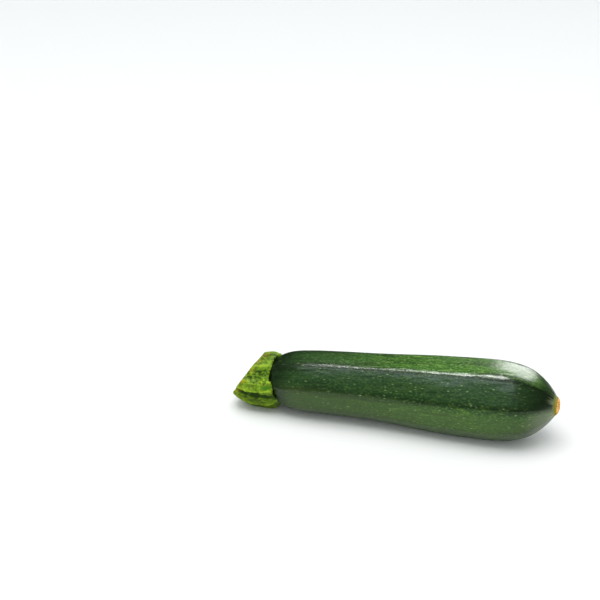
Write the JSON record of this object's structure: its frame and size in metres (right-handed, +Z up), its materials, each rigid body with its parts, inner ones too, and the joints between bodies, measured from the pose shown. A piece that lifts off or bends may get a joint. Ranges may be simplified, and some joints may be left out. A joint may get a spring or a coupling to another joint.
{
  "type": "courgette",
  "caption": "Whole courgette lying on its side: a long fruit with flat sides and soft ridges, a ribbed stem stub cut at a slant, and a corky flower scar.",
  "frame": {"origin": "on the resting surface, under the middle of the courgette's box", "axes": "+X along the fruit from the stem to the flower end, +Z up, -Y the side that faces the viewer in the picture"},
  "size_m": [0.1872, 0.0438, 0.043],
  "materials": {
    "skin": "thin waxy skin, dark green with pale flecks, satin to glossy",
    "stem": "fibrous light green stem, warty and matt, with a dried ochre cut",
    "scar": "dry tan cork, matt"
  },
  "bodies": {
    "root": {"fruit": "skin", "stem": "stem", "blossom_scar": "scar"}
  },
  "joints": []
}
